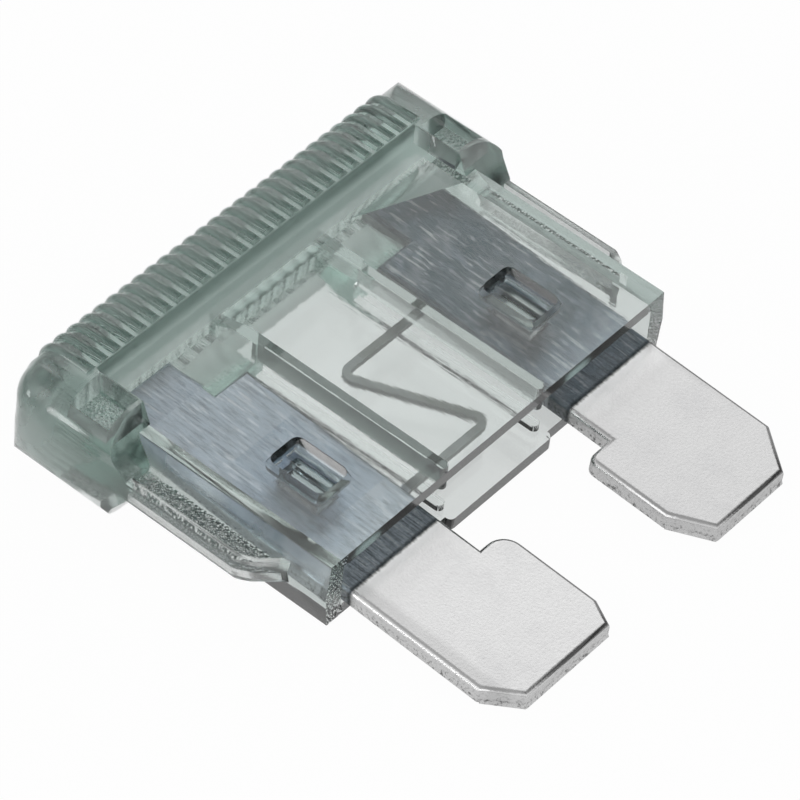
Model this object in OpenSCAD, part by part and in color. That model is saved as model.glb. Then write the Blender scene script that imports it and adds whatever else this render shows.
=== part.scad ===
// Plug-in blade fuse: a see-through moulded housing and one stamped metal strip.
// X runs across the two blades, -Y is the way the blades point, +Z is the side that was staked.
// The origin is the middle of the flat end of the grip head.

/* [Grip head] */
// Width of the grip head, the widest size of the fuse
head_w = 19.1; // [18.4:0.1:20]
// Thickness of the grip head
head_t = 4.3; // [4:0.1:5]
// Length of the ribbed band of the head, from its end to the step
head_band = 2.1; // [1.9:0.1:2.8]
// Length of the two shoulders at the ends of the head
shoulder_l = 4; // [3.8:0.1:4.4]
// Width of each shoulder
shoulder_w = 2; // [1.8:0.1:2.2]
// Length over which each shoulder slopes down to its rail
shoulder_slope = 0.9; // [0.5:0.1:1.2]
// Knee of that slope: how far down it has come, as a share of its height
slope_knee_down = 0.65; // [0.5:0.05:0.8]
// Knee of that slope: how far along it lies, as a share of its length
slope_knee_along = 0.5; // [0.3:0.05:0.5]
// Length over which each shoulder narrows from the head's width to the rail's
shoulder_narrow = 1.3; // [0.9:0.1:1.6]
// Rounding of the head's two long edges
head_edge_r = 0.9; // [0.6:0.1:1.1]
// Rounding of the head's ends, seen from the blade side
head_end_r = 1.6; // [0.9:0.1:1.8]
// Rounding of the head's corners, seen from the front
head_corner_r = 0.9; // [0.6:0.1:1.5]

/* [Grip ribs] */
// Distance between neighbouring grip ribs
rib_pitch = 0.595; // [0.5:0.005:0.8]
// Width of the row of ribs
rib_row_w = 15.5; // [12:0.5:16]
// Radius of each half-round rib
rib_r = 0.22; // [0.18:0.01:0.24]
// How far a rib stands out of the head
rib_h = 0.15; // [0.1:0.01:0.17]
// Plain strip between the ribs and the step
rib_margin = 0.12; // [0.05:0.01:0.3]

/* [Shoulder pockets] */
// Size of each shoulder pocket across the fuse
pocket_w = 1.35; // [1:0.05:1.4]
// Size of each shoulder pocket along the fuse
pocket_l = 1.6; // [1.2:0.1:1.7]
// Depth of each shoulder pocket below the head's face
pocket_depth = 0.95; // [0.4:0.05:1.2]
// Wall between a pocket and the shoulder's inner side
pocket_inset = 0.05; // [0.05:0.05:0.2]
// Wall between a pocket and the step of the head
pocket_margin = 0.15; // [0.1:0.05:0.2]

/* [Body] */
// Width of the body across its faces
body_w = 16.1; // [15.9:0.1:16.6]
// Extra width of the body at its parting line, from the draft of both halves
body_draft = 0.3; // [0:0.05:0.4]
// Thickness of the body
body_t = 2.7; // [2.5:0.1:3]
// Distance from the end of the head to the mouth of the body
body_l = 12.2; // [11.8:0.1:12.8]
// Thickness of the front wall over the strip
front_wall = 0.45; // [0.3:0.05:0.5]
// How far the back wall reaches past the mouth between the blades
tongue_l = 0.25; // [0.15:0.05:0.5]
// Rounding of the two corners of that tongue
tongue_r = 0.2; // [0.1:0.05:0.3]

/* [Side rails] */
// Overall width across the two side rails
rail_w = 18.5; // [18.3:0.05:18.6]
// Thickness of the rounded lip of each rail
rail_t = 0.9; // [0.7:0.05:1.2]
// Width of that lip
lip_w = 0.3; // [0.2:0.05:0.35]
// Thickness of the web between the two troughs of a rail
web_t = 0.3; // [0.2:0.05:0.4]
// Distance from the end of the head to the end of the straight rail
rail_end = 9.3; // [8.6:0.1:9.8]
// Length of the tapered lower end of each rail
rail_taper = 1.5; // [1:0.1:1.8]
// Knee of that end: how far it has come in, as a share of the rail's width
rail_knee_in = 0.25; // [0.15:0.05:0.4]
// Knee of that end: how far down it lies, as a share of the tapered length
rail_knee_down = 0.35; // [0.25:0.05:0.5]

/* [Link chamber] */
// Width of the chamber round the thin link
chamber_w = 4.3; // [4:0.1:4.5]
// Thickness of the divider ribs
divider_t = 0.35; // [0.25:0.05:0.4]
// Distance from the mouth to the rounded ends of the dividers
divider_end = 0.25; // [0.1:0.05:0.5]
// Room left between the front and the back half of each divider, for the link
link_room = 0.75; // [0.5:0.05:0.8]
// Distance from the end of the head to the square end of the chamber
chamber_top = 3.7; // [3.5:0.1:4.2]
// Length of the chamber's wedge-shaped tip
wedge_l = 1.3; // [0.8:0.1:1.4]
// Height of the wedge at its tip
wedge_t = 0.6; // [0.4:0.1:0.9]

/* [Metal strip] */
// Distance across the outer edges of the two blades
blades_w = 14.7; // [14.4:0.1:14.8]
// Thickness of the sheet
blade_t = 0.65; // [0.6:0.05:0.8]
// Width of each exposed blade
blade_w = 5.3; // [5:0.1:5.3]
// Distance from the end of the head to the blade tips
tip_l = 18.8; // [18.2:0.1:19.5]
// Width by which the neck is narrower than the blade
neck_cut = 1.1; // [0.8:0.1:1.3]
// Length of the neck below the mouth
neck_l = 1.9; // [1.5:0.1:2.4]
// Corner radius at the head of the left blade
left_step_r = 0.75; // [0.2:0.05:0.8]
// Corner radius at the head of the right blade
right_step_r = 0.35; // [0.2:0.05:0.8]
// Width of the narrow tab at the top of each blade
tab_w = 2.7; // [2.2:0.1:3.2]
// Distance from the end of the head to the top of the tabs
tab_top = 2.4; // [2.3:0.1:2.9]
// Distance from the end of the head to the foot of the tabs
tab_foot = 4.4; // [4.1:0.1:4.8]
// Lean of the staked strip towards the back wall, in degrees
lean = 3.5; // [2.5:0.25:3.75]
// How far the middle of the strip lies behind the middle of the body at the mouth
drop = 0.45; // [0.35:0.05:0.5]

/* [Link] */
// Width of the thin link
link_w = 0.28; // [0.2:0.02:0.4]
// Thickness of the thin link
link_t = 0.22; // [0.15:0.01:0.3]
// Distance from the end of the head to the link's upper run
link_upper = 6.45; // [6:0.05:7]
// Distance from the end of the head to the link's lower run
link_lower = 10.95; // [10.4:0.05:11.2]
// Distance from the middle of the fuse to each of the link's bends
link_reach = 1.05; // [0.8:0.05:1.3]
// Radius of the bends, along the middle of the link
link_bend = 0.3; // [0.2:0.05:0.4]

/* [Stakes] */
// Width of each stake well at the front face
stake_w = 1.45; // [1.2:0.05:1.6]
// Length of each stake well at the front face
stake_l = 2.25; // [1.9:0.05:2.4]
// Depth of each stake well
stake_depth = 0.5; // [0.3:0.05:0.6]
// Distance from the end of the head to the middle of the wells
stake_y = 8.95; // [8.6:0.05:9.4]
// Distance from the middle of the fuse to the middle of a well, before the shift
stake_x = 5.1; // [5:0.05:5.4]
// Sideways shift of both wells, from the set of the staking punch
stake_shift = -0.3; // [-0.4:0.05:0.4]
// Narrowing of the long sides of a well down to its floor
stake_taper = 0.33; // [0.1:0.01:0.4]
// Height of the ridge along the middle of a well's floor
stake_ridge = 0.12; // [0.05:0.01:0.2]
// Rounding of a well's corners, seen from the front
stake_r = 0.3; // [0.1:0.05:0.35]
// Wall of the pad round a well
stake_wall = 0.08; // [0.05:0.01:0.2]
// Plastic left between a well's floor and the back of its pad
stake_skin = 0.1; // [0.05:0.01:0.2]
// Width of the hole in each blade under a well
hole_w = 0.8; // [0.6:0.05:0.9]
// Length of that hole
hole_l = 1.6; // [1.2:0.1:1.7]

/* [Fits] */
// Gap between the strip and the plastic round it
slot_gap = 0.05; // [0.03:0.01:0.08]

/* [Hidden] */
$fn = 48;
// Reach of a cut past the surface that it opens
past = 1;
// Depth to which an added shape is sunk into the wall that carries it
sunk = 0.12;
half_head = head_w / 2;
half_head_t = head_t / 2;
half_body = body_w / 2;
half_body_t = body_t / 2;
half_rail = rail_w / 2;
// Ribs: how many fit in their row, and how deep their axes are sunk
rib_count = floor(rib_row_w / rib_pitch) + 1;
rib_sink = rib_r - rib_h;
rib_ring_r = head_edge_r - rib_sink;
// Strip: edges of the blades, measured from the middle of the fuse
blade_out = blades_w / 2;
blade_in = blade_out - blade_w;
neck_in = blade_in + neck_cut;
tab_in = blade_out - tab_w;
lean_rise = tan(lean);
half_sheet = blade_t / 2 / cos(lean);
// Cavity: a little wider than the room that ribs and bosses leave the strip
cavity_gap = 2 * slot_gap;
cavity_front = half_body_t - front_wall;
cavity_back = -(drop + half_sheet + cavity_gap);
cavity_half_w = blade_out + cavity_gap;
chamber_half = chamber_w / 2;
divider_out = chamber_half + divider_t;
// Height of the strip's middle plane at the middle of the link
link_mid = strip_z(body_l - (link_upper + link_lower) / 2);
// Link: the corners of its middle line, and the steps of each bend
link_path = [
    [neck_in + link_w, -link_upper],
    [-link_reach, -link_upper],
    [link_reach, -link_lower],
    [-neck_in - link_w, -link_lower],
];
bend_steps = 8;
// Stakes: height of the strip's middle plane under the wells, and of the wells' floors
stake_mid = strip_z(body_l - stake_y);
stake_floor = half_body_t - stake_depth;
stake_pad = min(stake_floor, cavity_front) - stake_skin;
// Inset of a well's rounded rim inside its sloping walls
rim_inset = 0.02;
// How far the sides of the well's ridge start below the floor
ridge_root = 0.05;

// Height of the strip's middle plane at a distance above the mouth
function strip_z(above) = -drop + above * lean_rise;

// Chamfers of the two blade tips, as [across, along]: the outer and the inner corner
left_cuts = [[0.9, 1.2], [0.45, 0.9]];
right_cuts = [[1.15, 1.5], [0.8, 1.5]];

// A flat outline in X and Y, given height from z0 to z1
module slab(z0, z1) {
    translate([0, 0, z0])
        linear_extrude(z1 - z0)
            children();
}

// A profile drawn in Y and Z, run across the fuse from x0 to x1
module across(x0, x1) {
    translate([x0, 0, 0])
        rotate([90, 0, 90])
            linear_extrude(x1 - x0)
                children();
}

// A profile drawn in X and Z, run along the fuse from y0 down to y1
module along(y0, y1) {
    translate([0, y0, 0])
        rotate([90, 0, 0])
            linear_extrude(y0 - y1)
                children();
}

// Rectangle between two corners
module rect(x0, y0, x1, y1) {
    translate([x0, y0])
        square([x1 - x0, y1 - y0]);
}

// Rectangle about the origin with four rounded corners
module rounded(w, h, r) {
    square([w, h - 2 * r], center = true);
    square([w - 2 * r, h], center = true);
    for (sx = [-1, 1], sy = [-1, 1])
        translate([sx * (w / 2 - r), sy * (h / 2 - r)])
            circle(r);
}

module both_sides() {
    children();
    mirror([1, 0, 0])
        children();
}

module both_faces() {
    children();
    mirror([0, 0, 1])
        children();
}

// The head seen from the front: rounded at its two upper corners
module head_front() {
    foot = -shoulder_l - shoulder_slope;
    polygon([
        [-half_head, -head_corner_r],
        [half_head, -head_corner_r],
        [half_head, foot + shoulder_narrow],
        [half_rail, foot],
        [-half_rail, foot],
        [-half_head, foot + shoulder_narrow],
    ]);
    rect(-half_head + head_corner_r, -head_corner_r - past, half_head - head_corner_r, 0);
    for (s = [-1, 1])
        translate([s * (half_head - head_corner_r), -head_corner_r])
            circle(head_corner_r);
}

// The head seen from one end: a round-edged end, then the step or the shoulder
module head_side(depth) {
    rect(-depth, -half_head_t, -head_edge_r, half_head_t);
    rect(-head_edge_r - past, -half_head_t + head_edge_r, 0, half_head_t - head_edge_r);
    for (s = [-1, 1])
        translate([-head_edge_r, s * (half_head_t - head_edge_r)])
            circle(head_edge_r);
}

// The slope from a shoulder's face over its knee down to the rail's lip
module shoulder_end() {
    knee_y = -shoulder_l - slope_knee_along * shoulder_slope;
    knee_z = half_head_t - slope_knee_down * (half_head_t - rail_t / 2);
    polygon([
        [-shoulder_l, half_head_t],
        [knee_y, knee_z],
        [-shoulder_l - shoulder_slope, rail_t / 2],
        [-shoulder_l - shoulder_slope, -rail_t / 2],
        [knee_y, -knee_z],
        [-shoulder_l, -half_head_t],
    ]);
}

module head() {
    intersection() {
        along(0, -shoulder_l - shoulder_slope)
            rounded(head_w, head_t, head_end_r);
        slab(-half_head_t, half_head_t)
            head_front();
        union() {
            across(-half_head, half_head)
                head_side(head_band);
            both_sides()
                across(half_head - shoulder_w, half_head)
                    union() {
                        head_side(shoulder_l);
                        shoulder_end();
                    }
        }
    }
}

// Row of circles at the rib pitch, the section of all ribs at once
module rib_row() {
    for (i = [0:rib_count - 1])
        translate([(i - (rib_count - 1) / 2) * rib_pitch, 0])
            circle(rib_r);
}

// Half-round ribs that run up one face, over both edges and down the other face
module ribs() {
    both_faces() {
        translate([0, 0, half_head_t - rib_sink])
            along(-head_edge_r, -head_band + rib_margin)
                rib_row();
        translate([0, -head_edge_r, half_head_t - head_edge_r])
            rotate([0, 90, 0])
                rotate([0, 0, 90])
                    rotate_extrude(angle = 90)
                        translate([rib_ring_r, 0])
                            rotate(90)
                                rib_row();
    }
    translate([0, -rib_sink, -half_head_t + head_edge_r])
        linear_extrude(head_t - 2 * head_edge_r)
            rib_row();
}

// Sunken pocket in the face of a shoulder
module shoulder_pocket() {
    x0 = half_head - shoulder_w + pocket_inset;
    y1 = -head_band - pocket_margin;
    slab(half_head_t - pocket_depth, half_head_t + past)
        rect(x0, y1 - pocket_l, x0 + pocket_w, y1);
}

// Body section: widest at the parting line, from the draft of both halves
module body_section() {
    parting = half_body + body_draft / 2;
    polygon([
        [-half_body, half_body_t],
        [half_body, half_body_t],
        [parting, 0],
        [half_body, -half_body_t],
        [-half_body, -half_body_t],
        [-parting, 0],
    ]);
}

// One rail seen from the front, with its tapered lower end
module rail_front(inset) {
    out = half_rail - inset;
    polygon([
        [half_body - past, -head_band],
        [out, -head_band],
        [out, -rail_end],
        [out - rail_knee_in * (out - half_body), -rail_end - rail_knee_down * rail_taper],
        [half_body, -rail_end - rail_taper + inset],
        [half_body - past, -rail_end - rail_taper + inset],
    ]);
}

// A side rail: a thin web with a rounded lip, which leaves a trough on each face
module rail() {
    slab(-web_t / 2, web_t / 2)
        rail_front(0);
    intersection() {
        slab(-rail_t / 2, rail_t / 2)
            difference() {
                rail_front(0);
                rail_front(lip_w);
            }
        along(-head_band, -rail_end - rail_taper)
            rounded(rail_w, rail_t, lip_w / 2);
    }
}

// The hollow seen from the front, open at the mouth
module cavity_front_view() {
    rect(-chamber_half, -body_l - tongue_l - past, chamber_half, -chamber_top);
    for (s = [0, 1])
        mirror([s, 0])
            rect(chamber_half - past, -body_l - past, cavity_half_w, -tab_foot + cavity_gap);
}

// Sockets above the blades, for the tabs, open towards the front wall
module tab_sockets() {
    slab(strip_z(body_l - tab_foot), cavity_front)
        for (s = [0, 1])
            mirror([s, 0])
                rect(divider_out + cavity_gap, -tab_foot, cavity_half_w, -tab_top + cavity_gap);
}

// The hollow seen from the side, with the wedge tip of the link chamber
module chamber_tip() {
    middle = (cavity_front + cavity_back) / 2;
    across(-chamber_half, chamber_half)
        polygon([
            [-chamber_top - past, cavity_front],
            [-chamber_top, cavity_front],
            [-chamber_top + wedge_l, middle + wedge_t / 2],
            [-chamber_top + wedge_l, middle - wedge_t / 2],
            [-chamber_top, cavity_back],
            [-chamber_top - past, cavity_back],
        ]);
}

// Places a shape that is drawn flat, about the mouth, in the leaning plane of the strip
module leaning() {
    translate([0, -body_l, -drop])
        rotate([lean, 0, 0])
            translate([0, body_l, 0])
                children();
}

// Room that the leaning strip needs in ribs, bosses and tab sockets
module strip_room() {
    room = blade_t / 2 + slot_gap;
    leaning()
        slab(-room, room)
            for (s = [0, 1])
                mirror([s, 0]) {
                    rect(neck_in - slot_gap, -body_l - past, blade_out + slot_gap, -tab_foot + slot_gap);
                    rect(tab_in - slot_gap, -tab_foot - past, blade_out + slot_gap, -tab_top + slot_gap);
                }
}

// One divider seen from the front, with its rounded end near the mouth
module divider_front() {
    end_y = -body_l + divider_end + divider_t / 2;
    rect(chamber_half, end_y, divider_out, -chamber_top + past);
    translate([chamber_half + divider_t / 2, end_y])
        circle(divider_t / 2);
}

// One divider: a rib on the front wall and a rib on the back wall, with the link's room between
module divider() {
    slab(link_mid + link_room / 2, cavity_front + sunk)
        divider_front();
    slab(cavity_back - sunk, link_mid - link_room / 2)
        divider_front();
}

// Tongue of the back wall between the blades, past the mouth
module tongue() {
    bottom = -body_l - tongue_l;
    slab(-half_body_t, cavity_back) {
        rect(-divider_out, bottom + tongue_r, divider_out, -body_l + past);
        rect(-divider_out + tongue_r, bottom, divider_out - tongue_r, -body_l);
        for (s = [-1, 1])
            translate([s * (divider_out - tongue_r), bottom + tongue_r])
                circle(tongue_r);
    }
}

// A tapered block: one section seen from below, the other from the side, cut against each other
module tapered_block(w, l, taper, z0, z1) {
    intersection() {
        along(l, -l)
            polygon([
                [-w / 2, z1],
                [w / 2, z1],
                [w / 2 - taper[0], z0],
                [-w / 2 + taper[0], z0],
            ]);
        across(-w, w)
            polygon([
                [-l / 2, z1],
                [l / 2, z1],
                [l / 2 - taper[1], z0],
                [-l / 2 + taper[1], z0],
            ]);
    }
}

// Puts its children at both stakes
module at_stakes() {
    for (s = [-1, 1])
        translate([s * stake_x + stake_shift, -stake_y, 0])
            children();
}

// Pad under a stake well, and the column that stands from it on the strip
module stake_boss() {
    slab(stake_pad, cavity_front + sunk)
        rounded(stake_w + 2 * stake_wall, stake_l + 2 * stake_wall, stake_r);
    slab(stake_mid, stake_pad + sunk)
        square([hole_w, hole_l], center = true);
}

// Stake well, pressed in from the front face, with the ridge that the punch leaves
module stake_well() {
    taper = [stake_taper, stake_taper / 2];
    grow = taper * past / stake_depth;
    difference() {
        intersection() {
            tapered_block(stake_w + 2 * grow[0], stake_l + 2 * grow[1], taper + grow,
                stake_floor, half_body_t + past);
            slab(stake_floor - past, half_body_t + past)
                rounded(stake_w - 2 * rim_inset, stake_l - 2 * rim_inset, stake_r);
        }
        well_ridge();
    }
}

// Ridge along the middle of a well's floor
module well_ridge() {
    along(stake_l, -stake_l)
        polygon([
            [-stake_ridge, stake_floor - ridge_root],
            [stake_ridge, stake_floor - ridge_root],
            [stake_ridge / 2, stake_floor + stake_ridge],
            [-stake_ridge / 2, stake_floor + stake_ridge],
        ]);
}

// Tongue of plastic that fills the hole in the blade under a well
module stake_nub() {
    fit = 2 * slot_gap;
    leaning()
        slab(-blade_t / 2, blade_t / 2 + slot_gap + sunk)
            for (s = [-1, 1])
                translate([s * stake_x + stake_shift, -stake_y])
                    square([hole_w - fit, hole_l - fit], center = true);
}

module housing() {
    color([0.55, 0.63, 0.6, 0.5]) {
        difference() {
            union() {
                difference() {
                    union() {
                        head();
                        ribs();
                        along(-head_band / 2, -body_l)
                            body_section();
                        tongue();
                        both_sides()
                            rail();
                    }
                    slab(cavity_back, cavity_front)
                        cavity_front_view();
                    chamber_tip();
                    tab_sockets();
                    both_sides()
                        both_faces()
                            shoulder_pocket();
                }
                both_sides()
                    divider();
                at_stakes()
                    stake_boss();
            }
            strip_room();
            at_stakes()
                stake_well();
        }
        stake_nub();
    }
}

// Unit direction from one point to another, and the direction to the left of it
function toward(p, q) = (q - p) / norm(q - p);
function left_of(p, q) = let (d = toward(p, q)) [-d[1], d[0]];

// One side of the bend at q on the way from p to r: side is 1 for the left edge, -1 for the right
function bend_side(p, q, r, side) =
    let (
        u = toward(q, p),
        v = toward(q, r),
        half_angle = acos(u * v) / 2,
        turn = sign(cross(q - p, r - q)),
        middle = q + toward([0, 0], u + v) * link_bend / sin(half_angle),
        first = q + u * link_bend / tan(half_angle) - middle,
        start = atan2(first[1], first[0]),
        sweep = turn * (180 - 2 * half_angle),
        radius = link_bend - side * turn * link_w / 2
    )
    [for (i = [0:bend_steps])
        middle + radius * [cos(start + sweep * i / bend_steps), sin(start + sweep * i / bend_steps)]];

// One edge of the link, from the right blade to the left one
function link_side(side) =
    concat(
        [link_path[0] + left_of(link_path[0], link_path[1]) * side * link_w / 2],
        bend_side(link_path[0], link_path[1], link_path[2], side),
        bend_side(link_path[1], link_path[2], link_path[3], side),
        [link_path[3] + left_of(link_path[2], link_path[3]) * side * link_w / 2]
    );

// The link's zigzag as one outline
module link_outline() {
    near = link_side(1);
    far = link_side(-1);
    polygon(concat(near, [for (i = [len(far) - 1:-1:0]) far[i]]));
}

// One blade on the +X side, with its neck, tab, chamfered tip and stake hole
module blade_outline(cuts, step_r, hole_x) {
    step_y = -body_l - neck_l;
    difference() {
        union() {
            rect(neck_in, -tip_l + cuts[0][1], blade_out, -tab_foot);
            rect(tab_in, -tab_foot - past, blade_out, -tab_top);
            rect(blade_in, -tip_l + max(cuts[0][1], cuts[1][1]), neck_in + past, step_y - step_r);
            rect(blade_in + step_r, step_y - 2 * step_r, neck_in + past, step_y);
            translate([blade_in + step_r, step_y - step_r])
                circle(step_r);
            polygon([
                [blade_out, -tip_l + cuts[0][1]],
                [blade_out - cuts[0][0], -tip_l],
                [blade_in + cuts[1][0], -tip_l],
                [blade_in, -tip_l + cuts[1][1]],
                [blade_in, -tip_l + cuts[1][1] + past],
                [blade_out, -tip_l + cuts[0][1] + past],
            ]);
        }
        translate([hole_x, -stake_y])
            square([hole_w, hole_l], center = true);
    }
}

module fuse_element() {
    color([0.78, 0.79, 0.8])
        leaning() {
            slab(-blade_t / 2, blade_t / 2) {
                blade_outline(right_cuts, right_step_r, stake_x + stake_shift);
                mirror([1, 0])
                    blade_outline(left_cuts, left_step_r, stake_x - stake_shift);
            }
            slab(-link_t / 2, link_t / 2)
                link_outline();
        }
}

housing();
fuse_element();
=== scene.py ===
"""Looks of a plug-in blade fuse: clear moulded housing, satin metal strip, pale studio."""

import math
import random

import bmesh
import bpy
from bpy.props import FloatProperty, FloatVectorProperty, PointerProperty
from mathutils import Matrix, Vector


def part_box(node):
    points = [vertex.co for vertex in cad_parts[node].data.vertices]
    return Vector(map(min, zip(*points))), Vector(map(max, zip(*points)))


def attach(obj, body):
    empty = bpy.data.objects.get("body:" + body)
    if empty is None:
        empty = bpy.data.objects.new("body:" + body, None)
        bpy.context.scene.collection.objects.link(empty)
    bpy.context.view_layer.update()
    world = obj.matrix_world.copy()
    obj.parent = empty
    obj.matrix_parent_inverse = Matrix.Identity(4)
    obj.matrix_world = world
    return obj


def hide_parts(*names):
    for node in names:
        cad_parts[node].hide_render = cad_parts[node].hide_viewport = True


bl_info = {
    "name": "Blade fuse looks",
    "version": (1, 0, 0),
    "blender": (4, 5, 0),
    "location": "3D View > Sidebar > Fuse",
    "description": "Dresses the blade fuse in clear plastic and satin metal and sets its studio",
    "category": "Object",
}

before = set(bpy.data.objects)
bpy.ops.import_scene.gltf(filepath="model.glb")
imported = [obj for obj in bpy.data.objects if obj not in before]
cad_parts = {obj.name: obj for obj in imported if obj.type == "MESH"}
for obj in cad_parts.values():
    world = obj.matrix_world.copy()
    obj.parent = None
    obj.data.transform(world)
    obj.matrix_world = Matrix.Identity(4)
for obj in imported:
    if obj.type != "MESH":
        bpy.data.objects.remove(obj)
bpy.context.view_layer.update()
MM = 0.001

# Places along the fuse, in millimetres below the end of its head
STEP_Y = -2.1
POCKET_END_Y = -3.95
SHOULDER_END_Y = -5.4
TROUGH_END_Y = -10.8
MOUTH_Y = -12.2
TIP_Y = -18.8

# Heights above the middle plane, in millimetres
FACE_Z = 1.35
HEAD_TOP = 2.15

# Half widths, in millimetres: from the chamber of the link out to the head
CHAMBER_HALF = 2.15
DIVIDER_OUT = 2.5
HOLLOW_HALF = 7.6
BODY_HALF = 8.05
RAIL_HALF = 9.25
HEAD_HALF = 9.55

# The head's left front corner: where its blend begins, the rounding there and of the end
CORNER_FROM = 8.4
CORNER_LOW = 0.4
CORNER_R = 1.15
CORNER_LONG = 0.9
END_R = 1.6

# The two stake wells: their middles and half sizes
WELLS_X = (-5.4, 4.8)
WELLS_Y = -8.95
WELL_HALF = (0.75, 1.15)
WELL_REACH = (1.35, 1.9)

# The strip: its lean in degrees, its drop at the mouth, its sheet and the blades' edges
STRIP_LEAN = 3.5
STRIP_DROP = 0.45
SHEET_T = 0.65
BLADE_IN = 2.05
BLADE_OUT = 7.35


class Wire:
    """One output of a node that takes part in arithmetic; each operator adds its node."""

    def __init__(self, finish, socket):
        self.finish = finish
        self.socket = socket

    def calc(self, operation, *values):
        inputs = dict(enumerate(values))
        return self.finish.node("ShaderNodeMath", {"operation": operation}, inputs)

    def __add__(self, other):
        return self.calc("ADD", self, other)

    def __radd__(self, other):
        return self.calc("ADD", other, self)

    def __sub__(self, other):
        return self.calc("SUBTRACT", self, other)

    def __rsub__(self, other):
        return self.calc("SUBTRACT", other, self)

    def __mul__(self, other):
        return self.calc("MULTIPLY", self, other)

    def __rmul__(self, other):
        return self.calc("MULTIPLY", other, self)

    def __gt__(self, other):
        return self.calc("GREATER_THAN", self, other)

    def __lt__(self, other):
        return self.calc("LESS_THAN", self, other)

    def __abs__(self):
        return self.calc("ABSOLUTE", self)


class Finish:
    """A node material, or the world, that is built from formulas."""

    def __init__(self, owner):
        owner.use_nodes = True
        self.owner = owner
        self.tree = owner.node_tree
        self.tree.nodes.clear()

    def node(self, kind, settings=None, sockets=None, output=0):
        made = self.tree.nodes.new(kind)
        for name, value in (settings or {}).items():
            setattr(made, name, value)
        for name, value in (sockets or {}).items():
            if isinstance(value, Wire):
                self.tree.links.new(value.socket, made.inputs[name])
            else:
                made.inputs[name].default_value = value
        return Wire(self, made.outputs[output]) if made.outputs else None

    def of(self, wire, output):
        """Another output of the node that a wire comes from."""
        return Wire(self, wire.socket.node.outputs[output])

    def place(self):
        """Object coordinates in millimetres, as one vector and as three numbers."""
        here = self.node("ShaderNodeTexCoord", output="Object")
        mm = self.node(
            "ShaderNodeVectorMath", {"operation": "SCALE"}, {0: here, "Scale": 1 / MM}
        )
        x = self.node("ShaderNodeSeparateXYZ", None, {0: mm})
        return mm, x, self.of(x, 1), self.of(x, 2)

    def normal(self):
        """The surface's normal as three numbers."""
        normal = self.node("ShaderNodeNewGeometry", output="Normal")
        x = self.node("ShaderNodeSeparateXYZ", None, {0: normal})
        return x, self.of(x, 1), self.of(x, 2)

    def facing(self):
        """The surface's normal as three numbers without their signs."""
        return [abs(part) for part in self.normal()]

    def stretch(self, vector, scale):
        return self.node(
            "ShaderNodeVectorMath", {"operation": "MULTIPLY"}, {0: vector, 1: scale}
        )

    def noise(self, vector, scale, detail=3.0, rough=0.5, warp=0.0):
        return self.node(
            "ShaderNodeTexNoise",
            None,
            {
                "Vector": vector,
                "Scale": scale,
                "Detail": detail,
                "Roughness": rough,
                "Distortion": warp,
            },
        )

    def cells(self, vector, scale):
        return self.node("ShaderNodeTexVoronoi", None, {"Vector": vector, "Scale": scale})

    def ramp(self, value, low, high, out_low=0.0, out_high=1.0):
        """A soft rise or fall from out_low at low to out_high at high."""
        return self.node(
            "ShaderNodeMapRange",
            {"interpolation_type": "SMOOTHSTEP"},
            {0: value, 1: low, 2: high, 3: out_low, 4: out_high},
        )

    def band(self, value, low, high, soft=0.02):
        """One between low and high and zero outside, with soft borders."""
        return self.ramp(value, low - soft, low + soft) * self.ramp(
            value, high - soft, high + soft, 1.0, 0.0
        )

    def mix(self, share, first, second):
        return self.node(
            "ShaderNodeMix", {"data_type": "RGBA"}, {0: share, 6: first, 7: second}, output=2
        )

    def layers(self, tone, *coats):
        """A colour with coats laid over it in turn, each a share and a colour."""
        for share, color in coats:
            tone = self.mix(share, tone, color)
        return tone

    def bump(self, height, strength, distance):
        """A normal from a height whose one stands for the distance, in millimetres."""
        sockets = {"Height": height, "Strength": strength, "Distance": distance * MM}
        return self.node("ShaderNodeBump", None, sockets)

    def output(self, surface, volume=None):
        sockets = {"Surface": surface}
        if volume is not None:
            sockets["Volume"] = volume
        kind = "Material" if isinstance(self.owner, bpy.types.Material) else "World"
        self.node("ShaderNodeOutput" + kind, None, sockets)


def new_finish(name):
    return Finish(bpy.data.materials.new(name))


def grey(level):
    return (level, level, level, 1.0)


def wear(obj, material):
    """Gives an object one material on all its slots."""
    if not obj.material_slots:
        obj.data.materials.append(material)
    for slot in obj.material_slots:
        slot.material = material


class FusePlastic(bpy.types.PropertyGroup):
    tint: FloatVectorProperty(
        name="Tint",
        description="Colour that light keeps on its way through the plastic",
        subtype="COLOR",
        default=(0.12, 0.38, 0.30),
    )
    density: FloatProperty(
        name="Density",
        description="How much light the plastic takes on each metre",
        default=230.0,
        min=0.0,
    )
    polish: FloatProperty(
        name="Polish",
        description="Roughness of the polished faces",
        subtype="FACTOR",
        default=0.03,
        min=0.0,
        max=1.0,
    )
    edge_round: FloatProperty(
        name="Edge rounding",
        description="Rounding of the moulded edges, in millimetres",
        default=0.07,
        min=0.0,
        max=0.15,
    )
    spark: FloatProperty(
        name="Spark texture",
        description="Roughness of the spark-eroded faces",
        subtype="FACTOR",
        default=0.1,
        min=0.0,
        max=1.0,
    )


class FuseMetal(bpy.types.PropertyGroup):
    bare: FloatVectorProperty(
        name="Bare blades",
        description="Colour of the blades outside the body",
        subtype="COLOR",
        default=(0.74, 0.74, 0.74),
    )
    # Painted shade: the strip inside the body is the same metal as the bare blades, darker and
    # bluer to paint its shade inside the housing
    enclosed: FloatVectorProperty(
        name="Enclosed strip",
        description="Colour of the duller metal inside the body",
        subtype="COLOR",
        default=(0.34, 0.395, 0.46),
    )
    rollover: FloatProperty(
        name="Rollover",
        description="Rounding of the blades' front edges from the stamping, in millimetres",
        default=0.2,
        min=0.0,
        max=0.25,
    )
    satin: FloatProperty(
        name="Satin",
        description="Roughness of the rolled faces",
        subtype="FACTOR",
        default=0.34,
        min=0.0,
        max=1.0,
    )


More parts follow.
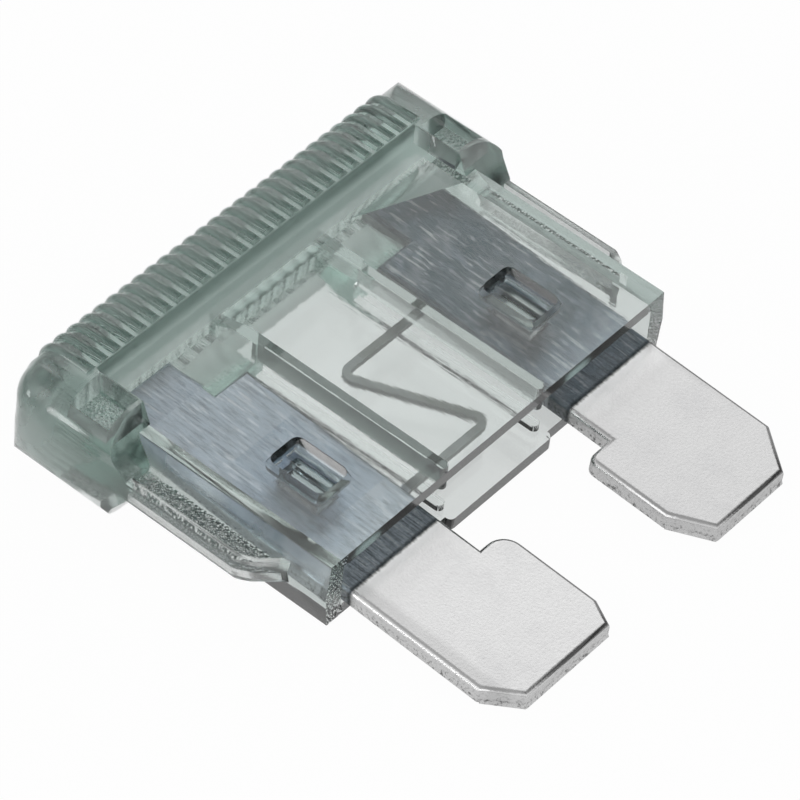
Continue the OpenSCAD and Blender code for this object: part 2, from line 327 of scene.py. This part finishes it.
class FuseStudio(bpy.types.PropertyGroup):
    azimuth: FloatProperty(
        name="Azimuth",
        description="Direction of the camera round the fuse",
        subtype="ANGLE",
        default=math.radians(-53.701),
    )
    elevation: FloatProperty(
        name="Elevation",
        description="Height of the camera above the fuse's plane",
        subtype="ANGLE",
        default=math.radians(47.243),
    )
    roll: FloatProperty(
        name="Roll",
        description="Turn of the camera about its view",
        subtype="ANGLE",
        default=math.radians(5.908),
    )
    distance: FloatProperty(
        name="Distance",
        description="Distance of the camera from its target",
        unit="LENGTH",
        default=0.164284,
    )
    target: FloatVectorProperty(
        name="Target",
        description="Point that the camera looks at",
        subtype="TRANSLATION",
        unit="LENGTH",
        default=(-0.000363, -0.008445, -0.000025),
    )
    lens: FloatProperty(
        name="Focal length",
        description="Focal length for a 36 mm wide sensor, in millimetres",
        default=235.276,
    )
    surround: FloatProperty(
        name="Surround",
        description="Strength of the light from all round",
        default=0.62,
        min=0.0,
    )


def into_scene(name, form):
    """Turns a finished bmesh into an object of the scene."""
    mesh = bpy.data.meshes.new(name)
    form.to_mesh(mesh)
    form.free()
    obj = bpy.data.objects.new(name, mesh)
    bpy.context.scene.collection.objects.link(obj)
    return obj


def dress(obj, material):
    """Shades a finished mesh smooth up to its sharp edges and hangs it on the fuse."""
    mesh = obj.data
    mesh.shade_smooth()
    mesh.set_sharp_from_angle(angle=math.radians(38))
    weigh = obj.modifiers.new("even_normals", "WEIGHTED_NORMAL")
    weigh.keep_sharp = True
    wear(obj, material)
    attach(obj, "root")


def smooth(value, low, high):
    """Zero below low, one above high and a soft rise between them."""
    t = min(max((value - low) / (high - low), 0.0), 1.0)
    return t * t * (3 - 2 * t)


def full_corner(form):
    """Blends the sharp front corner at the head's left end, beside the ribs."""
    end = STEP_Y + 0.1

    def near(v):
        return v.co.x < -CORNER_FROM and v.co.y > end and v.co.z > CORNER_LOW

    # Cuts across the flat faces give them the points that the blend moves
    cuts = [(Vector((-1, 0, 0)), k) for k in spread(CORNER_FROM, HEAD_HALF, 0.12)]
    cuts += [(Vector((0, 0, 1)), k) for k in spread(CORNER_LOW, HEAD_TOP, 0.15)]
    cuts += [(Vector((0, 1, 0)), -k) for k in spread(0.0, -end, 0.15)]
    for axis, k in cuts:
        faces = [f for f in form.faces if any(near(v) for v in f.verts)]
        parts = {part for f in faces for part in (*f.verts, *f.edges)}
        bmesh.ops.bisect_plane(
            form, geom=[*faces, *parts], dist=1e-4, plane_co=axis * k, plane_no=axis
        )
    for v in form.verts:
        if not near(v):
            continue
        round_off = CORNER_R + (END_R - CORNER_R) * smooth(-v.co.y, 0.6, 1.9)
        radii = Vector((round_off, CORNER_LONG, round_off))
        inner = Vector((HEAD_HALF, 0.0, HEAD_TOP)) - radii
        place = Vector((-v.co.x, v.co.y, v.co.z))
        past = Vector([max(a - b, 0.0) / r for a, b, r in zip(place, inner, radii)])
        # Points well inside the moulding, or off its skin, keep their place
        if not 0.75 < past.length < 1.4:
            continue
        share = smooth(place.x, CORNER_FROM, CORNER_FROM + 0.25)
        share *= smooth(place.z, CORNER_LOW, CORNER_LOW + 0.2)
        grow = (1 / past.length - 1) * share
        place += Vector([a * r * grow for a, r in zip(past, radii)])
        v.co = Vector((-place.x, place.y, place.z))


def spread(start, end, step):
    """Places from start to end, not counting the two."""
    count = round((end - start) / step)
    return [start + (end - start) * i / count for i in range(1, count)]


def softened(node, name, rounds, reshape=None):
    """A copy of a CAD node that stands for it, with its sharp edges rounded.

    Each of the rounds holds a width, its steps and a test for its edges. The mesh then goes
    through reshape. Both work in millimetres.
    """
    form = bmesh.new()
    form.from_mesh(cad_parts[node].data)
    bmesh.ops.scale(form, vec=(1 / MM,) * 3, verts=form.verts)
    bmesh.ops.remove_doubles(form, verts=form.verts, dist=2e-4)
    bmesh.ops.dissolve_limit(
        form, angle_limit=math.radians(0.4), verts=form.verts, edges=form.edges
    )
    for width, steps, wanted in rounds:
        edges = [
            e
            for e in form.edges
            if len(e.link_faces) == 2 and e.calc_face_angle() > math.radians(30) and wanted(e)
        ]
        bmesh.ops.bevel(
            form,
            geom=edges,
            offset=width,
            offset_type="OFFSET",
            segments=steps,
            profile=0.5,
            affect="EDGES",
            clamp_overlap=True,
            material=-1,
        )
    if reshape:
        reshape(form)
    bmesh.ops.scale(form, vec=(MM,) * 3, verts=form.verts)
    obj = into_scene(name, form)
    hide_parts(node)
    return obj


class FUSE_OT_housing(bpy.types.Operator):
    """Builds the moulded housing with softened edges in clear tinted plastic"""

    bl_idname = "fuse.housing"
    bl_label = "Housing"

    def execute(self, context):
        look = context.scene.fuse_plastic
        obj = softened(
            "housing", "moulded_housing", [(look.edge_round, 2, self.outer_edge)], full_corner
        )
        dress(obj, self.finish(look))
        return {"FINISHED"}

    def outer_edge(self, edge):
        """True for an edge below the ribs that isn't inside the hollow."""
        hidden = all(
            abs(v.co.x) < HOLLOW_HALF and abs(v.co.z) < FACE_Z - 0.15 and v.co.y > MOUTH_Y + 0.01
            for v in edge.verts
        )
        return max(v.co.y for v in edge.verts) < STEP_Y - 0.02 and not hidden

    def finish(self, look):
        paint = new_finish("clear_moulded_plastic")
        mm, x, y, z = paint.place()
        nx, ny, nz = paint.facing()
        side, height = abs(x), abs(z)
        flat = nz > 0.8
        mouth = (y < MOUTH_Y + 0.02) * (ny > 0.8)

        # Spark-eroded faces: floors of the troughs and pockets, and pads beside the mouth
        trough = paint.band(side, BODY_HALF, RAIL_HALF - 0.3) * (height < 0.2) * flat
        trough = trough * paint.band(y, TROUGH_END_Y, STEP_Y)
        pocket = (side > 7.4) * paint.band(y, POCKET_END_Y, STEP_Y)
        pocket = pocket * paint.band(height, 1.1, 1.3) * flat
        pads = mouth * (side > 7.3)
        spark = trough + pocket + pads

        # Moulded faces with a duller polish, from the head down to the rim of the mouth
        grip = paint.ramp(y, STEP_Y - 0.1, STEP_Y + 0.1)
        middle = paint.ramp(side, 6.2, 4.6)
        ends = paint.ramp(side, 7.45, 7.7) * (1 - pocket)
        ends = ends * paint.ramp(y, SHOULDER_END_Y - 0.2, SHOULDER_END_Y + 0.2)
        step = paint.band(y, STEP_Y - 0.7, STEP_Y + 0.1, 0.2) * (z > FACE_Z - 0.15) * (1 - ends)
        lips = paint.ramp(side, BODY_HALF + 0.1, BODY_HALF + 0.3) * (1 - ends) * (1 - trough)
        walls = (nx > 0.7) * paint.band(side, 7.5, BODY_HALF + 0.1) * (y < POCKET_END_Y - 0.05)
        rim = mouth * (side < 7.3)
        wells = self.around_wells(paint, x, y, WELLS_X, WELL_REACH)
        wells = wells * (z > -0.2) * (z < FACE_Z - 0.03)
        steep = wells * paint.ramp(nz, 0.75, 0.55)
        patch = self.around_wells(paint, x, y, WELLS_X[1:], WELL_HALF) * flat
        soft = grip * (0.06 + 0.14 * middle + 0.3 * (z < -1.0)) + ends * 0.18 + lips * 0.2
        soft = soft + step * 0.34 + walls * 0.2 + rim * 0.2
        soft = soft + wells * (0.05 + 0.25 * patch) + steep * 0.12

        # Painted reflection: a dark metallic coat on the dividers' right faces paints the dark
        # surroundings that they turn back through the window
        painted_mirror = paint.band(x, -CHAMBER_HALF - 0.04, -CHAMBER_HALF + 0.04)
        painted_mirror = painted_mirror + 0.55 * paint.band(x, DIVIDER_OUT - 0.04, DIVIDER_OUT + 0.04)
        painted_mirror = painted_mirror * paint.band(y, MOUTH_Y + 0.1, POCKET_END_Y - 0.05)
        painted_mirror = painted_mirror * (nx > 0.7) * paint.ramp(z, -0.2, 0.1)

        grit = paint.noise(mm, 6.0, 3.0, 0.6)
        specks = paint.cells(mm, 8.0)
        streaks = paint.noise(paint.stretch(mm, (5.0, 0.3, 5.0)), 2.0, 3.0, 0.6)
        haze = paint.noise(mm, 0.9, 3.0, 0.55)
        rough = look.polish + 0.05 * paint.ramp(haze, 0.5, 0.75) + soft
        rough = rough + spark * (look.spark * (0.3 + grit))
        relief = (spark + 0.8 * pads) * (1.3 * specks + 0.6 * grit)
        relief = relief + 0.01 * streaks + 0.015 * haze
        # Painted shade: the plastic round the stake wells, most round the left one, turns a
        # darker blue-grey, and their steep walls darker still. The rim of the mouth takes a
        # darker grey-green.
        tone = paint.layers(
            grey(1.0),
            (wells * (1 - 0.8 * (x > 0)), (0.72, 0.79, 0.86, 1.0)),
            (steep, (0.42, 0.49, 0.55, 1.0)),
            (rim * 0.9, (0.36, 0.42, 0.40, 1.0)),
            # Painted dark reflection on the dividers' right faces
            (painted_mirror, (0.09, 0.13, 0.115, 1.0)),
        )
        surface = paint.node(
            "ShaderNodeBsdfPrincipled",
            None,
            {
                "Base Color": tone,
                # Metal on the dividers' right faces, for the painted reflection
                "Metallic": 0.8 * painted_mirror,
                "Roughness": rough,
                "Transmission Weight": 1.0,
                "IOR": 1.55,
                "Coat Weight": paint.ramp(soft, 0.02, 0.1),
                "Coat Roughness": 0.05,
                "Normal": paint.bump(relief, 1.0, 0.36),
            },
        )
        inside = paint.node(
            "ShaderNodeVolumeAbsorption",
            None,
            {"Color": (*look.tint, 1.0), "Density": look.density},
        )
        paint.output(surface, inside)
        return paint.owner

    def around_wells(self, paint, x, y, middles, half):
        """One within a half width and a half length of the middles of stake wells."""
        across = sum(paint.band(x, middle - half[0], middle + half[0]) for middle in middles)
        return across * paint.band(y, WELLS_Y - half[1], WELLS_Y + half[1])


def strip_place():
    """Takes a point of the flat strip, in millimetres, to its leaning place, in metres."""
    mouth = Matrix.Translation((0.0, MOUTH_Y, 0.0))
    lean = Matrix.Rotation(math.radians(STRIP_LEAN), 4, "X")
    drop = Matrix.Translation((0.0, 0.0, -STRIP_DROP))
    return Matrix.Scale(MM, 4) @ drop @ mouth @ lean @ mouth.inverted()


def burr(name, corners, seed, height):
    """A ragged burr along the lower edge of a blade, through corners given outside in."""
    rng = random.Random(seed)
    place = strip_place()
    form = bmesh.new()
    low = -SHEET_T / 2
    rings = []
    swell = 0.3
    for start, end in zip(corners, corners[1:]):
        along = end - start
        out = Vector((along.y, -along.x)).normalized()
        steps = max(2, round(along.length / 0.07))
        for i in range(steps):
            at = start + along * (i + rng.uniform(-0.3, 0.3) * (0 < i)) / steps
            swell = 0.7 * swell + 0.3 * rng.random()
            rise = height * (0.1 + 1.6 * swell**2 + 0.5 * rng.random() ** 3)
            # Each ring has a point inside the sheet, one up its sheared edge and the burr's own
            rings.append(
                [
                    form.verts.new(place @ Vector((*(at + out * shift), low + lift)))
                    for shift, lift in (
                        (-0.05, 0.03),
                        (0.002, 0.16),
                        (0.004 + rise * 0.7, 0.02 - rise),
                    )
                ]
            )
    for one, two in zip(rings, rings[1:]):
        for a in range(3):
            b = (a + 1) % 3
            form.faces.new((one[a], one[b], two[b], two[a]))
    form.faces.new(rings[0][::-1])
    form.faces.new(rings[-1])
    bmesh.ops.recalc_face_normals(form, faces=form.faces)
    return into_scene(name, form)


class FUSE_OT_strip(bpy.types.Operator):
    """Builds the stamped strip with rolled-over edges, satin metal and ragged burrs"""

    bl_idname = "fuse.strip"
    bl_label = "Metal strip"

    def execute(self, context):
        look = context.scene.fuse_metal
        finish = self.finish(look)
        obj = softened(
            "fuse_element",
            "stamped_strip",
            [(look.rollover, 4, self.front_rim), (0.03, 1, self.back_rim)],
        )
        dress(obj, finish)
        right = [
            (BLADE_OUT, TIP_Y + 4.8),
            (BLADE_OUT, TIP_Y + 1.5),
            (BLADE_OUT - 1.15, TIP_Y),
            (BLADE_IN + 0.8, TIP_Y),
            (BLADE_IN, TIP_Y + 1.5),
        ]
        left = [
            (-BLADE_IN, TIP_Y + 3.8),
            (-BLADE_IN, TIP_Y + 0.9),
            (-BLADE_IN - 0.45, TIP_Y),
            (-BLADE_OUT + 0.9, TIP_Y),
            (-BLADE_OUT, TIP_Y + 1.2),
        ]
        for name, corners, seed in (("burr_right", right, 3), ("burr_left", left, 8)):
            ragged = burr(name, [Vector(c) for c in corners], seed, 0.18)
            wear(ragged, finish)
            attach(ragged, "root")
        return {"FINISHED"}

    def front_rim(self, edge):
        return self.on_face(edge, 1)

    def back_rim(self, edge):
        return self.on_face(edge, -1)

    def on_face(self, edge, side):
        """True for an edge that lies in the front (1) or the back (-1) face of the blades."""
        lean = math.radians(STRIP_LEAN)
        normal = Vector((0.0, -math.sin(lean), math.cos(lean)))
        mouth = Vector((0.0, MOUTH_Y, -STRIP_DROP))
        return all(
            abs(normal.dot(v.co - mouth) - side * SHEET_T / 2) < 0.01 for v in edge.verts
        )

    def finish(self, look):
        paint = new_finish("satin_strip_metal")
        mm, x, y, z = paint.place()
        nz = paint.facing()[2]
        normal_x = paint.normal()[0]
        side = abs(x)
        left, right = x < 0, x > 0

        # Torn metal on the lower part of the sheared edges, and the rolled-over edges
        depth = (z + STRIP_DROP) - math.sin(math.radians(STRIP_LEAN)) * (y - MOUTH_Y)
        sheared = paint.ramp(nz, 0.5, 0.25)
        torn = sheared * paint.ramp(depth, 0.12, -0.2, 0.25, 1.0)
        rolled = paint.band(nz, 0.3, 0.97, 0.02)

        # Bright blades outside the body; inside, the same metal in a darker, bluer colour that
        # paints its shade, and the link
        outside = paint.ramp(y, MOUTH_Y - 0.24, MOUTH_Y - 0.3)
        enclosed = 1 - outside
        link = (side < DIVIDER_OUT + 0.45) * enclosed

        lines = paint.noise(paint.stretch(mm, (12.0, 0.5, 12.0)), 1.5, 3.0, 0.65)
        scratches = paint.noise(paint.stretch(mm, (9.0, 0.4, 9.0)), 1.2, 3.0, 0.6)
        swirls = paint.noise(paint.stretch(mm, (1.0, 0.5, 1.0)), 1.0, 4.0, 0.6, 1.5)
        flecks = paint.ramp(paint.noise(mm, 8.0, 3.0, 0.7), 0.5, 0.66)
        clouds = paint.noise(mm, 0.7, 4.0, 0.6)
        grain = paint.noise(mm, 11.0, 2.0, 0.6)

        # Painted shade and light at the mouth, and darker swirls on the right strip further in
        ragged = y + 0.14 * (scratches - 0.5)
        # Painted shade: a dark band over the mouth, where the metal lies in the front wall's
        # shadow
        mouth_shade = paint.band(ragged, MOUTH_Y - 0.27, MOUTH_Y + 0.55, 0.05)
        # Painted shade: a darker line along the lower border of that band
        mouth_shade_line = paint.band(ragged, MOUTH_Y - 0.33, MOUTH_Y - 0.17, 0.06)
        # Painted light: the bare metal lightened just outside the mouth, against the body's
        # shade
        painted_light = outside * paint.ramp(y, MOUTH_Y - 1.3, MOUTH_Y - 0.3)
        # The enclosed right strip, darker and swirled further in from the mouth
        right_darkening = enclosed * right * paint.ramp(y, MOUTH_Y, MOUTH_Y + 2.7, 0.3, 0.95)
        right_darkening = right_darkening * (1.05 + 1.6 * (swirls - 0.5))
        # Painted sheen: the enclosed left strip paler towards the mouth
        painted_sheen = enclosed * left * paint.ramp(y, MOUTH_Y + 3.2, MOUTH_Y + 0.4)

        # Marks of rolling and handling, then painted shade along the blades' outer edges
        marks = paint.ramp(scratches, 0.52, 0.68) * enclosed
        pale = paint.ramp(scratches, 0.45, 0.34) * enclosed
        threads = paint.ramp(lines, 0.5, 0.62) * enclosed
        # Painted shade: darker bands just inside the left blade's outer edge and along the right
        # blade's outer edge above its tip
        edge_shade_left = paint.ramp(side, BLADE_OUT - 0.75, BLADE_OUT - 0.4)
        edge_shade_left = edge_shade_left * paint.ramp(side, BLADE_OUT - 0.1, BLADE_OUT - 0.25)
        edge_shade_right = paint.ramp(side, BLADE_OUT - 0.45, BLADE_OUT - 0.05)
        edge_shade_right = edge_shade_right * paint.ramp(y, TIP_Y + 2.0, TIP_Y + 4.3)
        edge_shade = outside * (left * edge_shade_left + right * edge_shade_right)

        tone = paint.layers(
            # Bare metal outside the body, and the painted-shade colour of the same metal inside
            # it
            paint.mix(outside, (*look.enclosed, 1.0), (*look.bare, 1.0)),
            # Painted shade: the right blade's bare metal darker than the left
            (outside * right * 0.35, grey(0.5)),
            # Painted light just outside the mouth
            (painted_light * 0.9, grey(1.0)),
            (right_darkening, (0.02, 0.05, 0.065, 1.0)),
            (painted_sheen * 0.4, (0.62, 0.69, 0.74, 1.0)),
            (marks * 0.5, (0.18, 0.20, 0.23, 1.0)),
            (threads * 0.45, (0.10, 0.12, 0.14, 1.0)),
            (pale * 0.3, grey(0.95)),
            (paint.ramp(clouds, 0.45, 0.8) * 0.3, (0.52, 0.52, 0.53, 1.0)),
            (edge_shade * 0.35, grey(0.42)),
            (sheared * 0.5, grey(0.62)),
            (torn * flecks * 0.85, grey(0.07)),
            # Painted shade at the mouth: the dark band, then its darker lower line
            (mouth_shade * (0.15 + 0.5 * grain), (0.09, 0.10, 0.10, 1.0)),
            (mouth_shade_line * (0.3 + 0.8 * grain), (0.04, 0.045, 0.045, 1.0)),
            # Painted shade: the rolled-over edges of the bare blades that face right are
            # darkened
            (rolled * outside * (normal_x > 0.12) * 0.7, grey(0.10)),
            (link * 0.8, (0.17, 0.18, 0.16, 1.0)),
        )
        rough = look.satin + 0.12 * (grain - 0.5) + 0.12 * sheared + 0.1 * marks + 0.2 * mouth_shade
        rough = rough - 0.14 * rolled
        relief = (0.1 + 0.35 * enclosed) * lines + 0.45 * grain + 0.3 * clouds
        relief = relief + (2.5 * torn + mouth_shade) * grain
        normal = paint.bump(relief, 0.5, 0.03)
        surface = paint.node(
            "ShaderNodeBsdfPrincipled",
            None,
            {"Base Color": tone, "Metallic": 1.0, "Roughness": rough, "Normal": normal},
        )
        paint.output(surface)
        return paint.owner


def soft_lamp(name, place, target, size, power):
    """A rectangular soft lamp that points at a target, all in metres."""
    lamp = bpy.data.lights.new(name, "AREA")
    lamp.shape = "RECTANGLE"
    lamp.size, lamp.size_y = size
    lamp.energy = power
    obj = bpy.data.objects.new(name, lamp)
    obj.location = place
    obj.rotation_euler = (Vector(place) - Vector(target)).to_track_quat("Z", "Y").to_euler()
    bpy.context.scene.collection.objects.link(obj)


def ray_kinds(paint):
    """Light Path's camera, glossy and transmission outputs, as three switches."""
    camera = paint.node("ShaderNodeLightPath", output="Is Camera Ray")
    return camera, paint.of(camera, "Is Glossy Ray"), paint.of(camera, "Is Transmission Ray")


def larger(first, second):
    return first.calc("MAXIMUM", first, second)


class FUSE_OT_studio(bpy.types.Operator):
    """Sets the pale floor, the soft lamps, the surround and the camera"""

    bl_idname = "fuse.studio"
    bl_label = "Studio"

    def execute(self, context):
        look = context.scene.fuse_studio
        self.make_floor()
        self.make_lamps()
        self.make_world(look)
        self.make_camera(context, look)
        context.scene.view_settings.view_transform = "Standard"
        return {"FINISHED"}

    def make_floor(self):
        # The fuse lies on the ribbed back of its head and on the burrs of its blade tips
        burrs = [bpy.data.objects[name] for name in ("burr_left", "burr_right")]
        low_tip = min((v.co for obj in burrs for v in obj.data.vertices), key=lambda co: co.z)
        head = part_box("housing")[0]
        rest = Vector((0.0, STEP_Y * MM, head.z))
        slope = math.atan2(low_tip.z - rest.z, low_tip.y - rest.y)
        # The same line, turned so that the floor's face looks up
        slope = (slope + math.pi / 2) % math.pi - math.pi / 2
        form = bmesh.new()
        bmesh.ops.create_circle(form, cap_ends=True, segments=96, radius=0.6)
        floor = into_scene("floor", form)
        floor.matrix_world = Matrix.Translation(rest) @ Matrix.Rotation(slope, 4, "X")
        paint = new_finish("pale_floor")
        matt = paint.node(
            "ShaderNodeBsdfDiffuse", None, {"Color": grey(0.9), "Roughness": 0.5}
        )
        camera, glossy, through = ray_kinds(paint)
        mm = paint.place()[0]
        away = paint.node("ShaderNodeVectorMath", {"operation": "LENGTH"}, {0: mm}, output=1)
        # Painted pool of light: in reflections and through the plastic the floor glows brighter
        # near the fuse and dimmer further out
        near = paint.ramp(away, 24.0, 60.0, 0.88, 0.42)
        tone = paint.mix(camera, near, grey(1.0))
        glow = paint.node("ShaderNodeEmission", None, {"Color": tone, "Strength": 1.0})
        share = larger(camera * 0.97, larger(glossy, through) * 0.7)
        paint.output(paint.node("ShaderNodeMixShader", None, {0: share, 1: matt, 2: glow}))
        wear(floor, paint.owner)

    def make_lamps(self):
        middle = (0.0, -0.009, 0.0)
        soft_lamp("key_lamp", (0.17, 0.10, 0.23), middle, (0.20, 0.20), 0.075)
        soft_lamp("side_lamp", (-0.24, -0.02, 0.12), middle, (0.10, 0.18), 0.05)
        soft_lamp("rear_lamp", (-0.216, 0.088, 0.035), (-0.009, -0.003, 0.0), (0.06, 0.05), 0.04)

    def make_world(self, look):
        world = bpy.data.worlds.new("studio_surround")
        bpy.context.scene.world = world
        paint = Finish(world)
        camera, glossy, through = ray_kinds(paint)
        aim = paint.node("ShaderNodeTexCoord", output="Generated")
        height = paint.of(paint.node("ShaderNodeSeparateXYZ", None, {0: aim}), 2)
        flag = paint.node(
            "ShaderNodeVectorMath",
            {"operation": "DOT_PRODUCT"},
            {0: aim, 1: (0.62, -0.55, 0.55)},
            output=1,
        )
        shown = larger(glossy, through) * (
            paint.ramp(height, -0.1, 0.4, 0.3, 0.9)
            * paint.ramp(height, 0.5, 0.95, 1.0, 0.5)
            * paint.ramp(flag, 0.75, 0.93, 1.0, 0.12)
        )
        lighting = (1 - larger(larger(camera, glossy), through)) * look.surround
        paint.output(
            paint.node(
                "ShaderNodeBackground",
                None,
                {"Color": grey(1.0), "Strength": larger(camera, shown) + lighting},
            )
        )

    def make_camera(self, context, look):
        a, e, r = look.azimuth, look.elevation, look.roll
        back = Vector((math.sin(a) * math.cos(e), -math.cos(a) * math.cos(e), math.sin(e)))
        right = Vector((math.cos(a), math.sin(a), 0.0))
        up = back.cross(right)
        turned = right * math.cos(r) + up * math.sin(r)
        upward = up * math.cos(r) - right * math.sin(r)
        camera = bpy.data.objects.new("camera", bpy.data.cameras.new("camera"))
        camera.matrix_world = Matrix.Translation(
            Vector(look.target) + back * look.distance
        ) @ Matrix((turned, upward, back)).transposed().to_4x4()
        camera.data.lens = look.lens
        camera.data.sensor_width = 36.0
        camera.data.clip_start = 0.01
        camera.data.clip_end = 10.0
        context.scene.collection.objects.link(camera)
        context.scene.camera = camera


class FUSE_PT_panel(bpy.types.Panel):
    """Lists the steps that dress the fuse"""

    bl_idname = "FUSE_PT_panel"
    bl_label = "Blade fuse"
    bl_space_type = "VIEW_3D"
    bl_region_type = "UI"
    bl_category = "Fuse"

    def draw(self, context):
        for group in (
            context.scene.fuse_plastic,
            context.scene.fuse_metal,
            context.scene.fuse_studio,
        ):
            box = self.layout.box()
            for name in group.__annotations__:
                box.prop(group, name)
        for step in STEPS:
            self.layout.operator(step.bl_idname)


STEPS = (FUSE_OT_housing, FUSE_OT_strip, FUSE_OT_studio)
GROUPS = (
    ("fuse_plastic", FusePlastic),
    ("fuse_metal", FuseMetal),
    ("fuse_studio", FuseStudio),
)


def register():
    for name, group in GROUPS:
        bpy.utils.register_class(group)
        setattr(bpy.types.Scene, name, PointerProperty(type=group))
    for step in STEPS:
        bpy.utils.register_class(step)
    bpy.utils.register_class(FUSE_PT_panel)


def unregister():
    bpy.utils.unregister_class(FUSE_PT_panel)
    for step in reversed(STEPS):
        bpy.utils.unregister_class(step)
    for name, group in reversed(GROUPS):
        delattr(bpy.types.Scene, name)
        bpy.utils.unregister_class(group)


def main():
    register()
    bpy.ops.fuse.housing()
    bpy.ops.fuse.strip()
    bpy.ops.fuse.studio()


if __name__ == "__main__":
    main()
